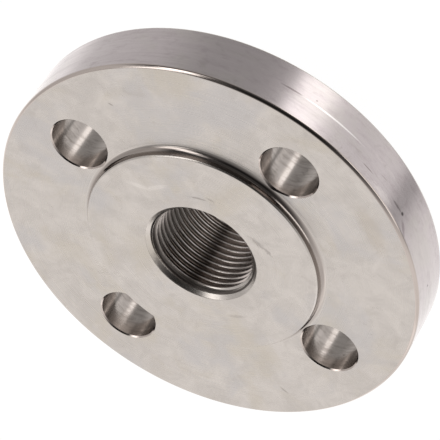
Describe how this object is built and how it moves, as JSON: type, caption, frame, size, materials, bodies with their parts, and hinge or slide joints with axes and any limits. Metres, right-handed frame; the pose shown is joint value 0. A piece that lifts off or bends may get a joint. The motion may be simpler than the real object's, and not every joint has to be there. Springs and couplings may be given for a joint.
{
  "type": "threaded flange",
  "caption": "Round steel pipe flange with a raised sealing face, a short hub behind it, a threaded bore for the pipe end and a circle of bolt holes.",
  "frame": {"origin": "on the bore axis, at the hub's end, which the flange stands on", "axes": "+Z along the bore axis towards the raised face, bolt holes at 45 degrees to +X and +Y"},
  "size_m": [0.105, 0.105, 0.025],
  "materials": {
    "turned_steel": "turned and lightly satin, faint cloudy stains on the faces"
  },
  "bodies": {
    "root": {"threaded_flange": "turned_steel"}
  },
  "joints": []
}
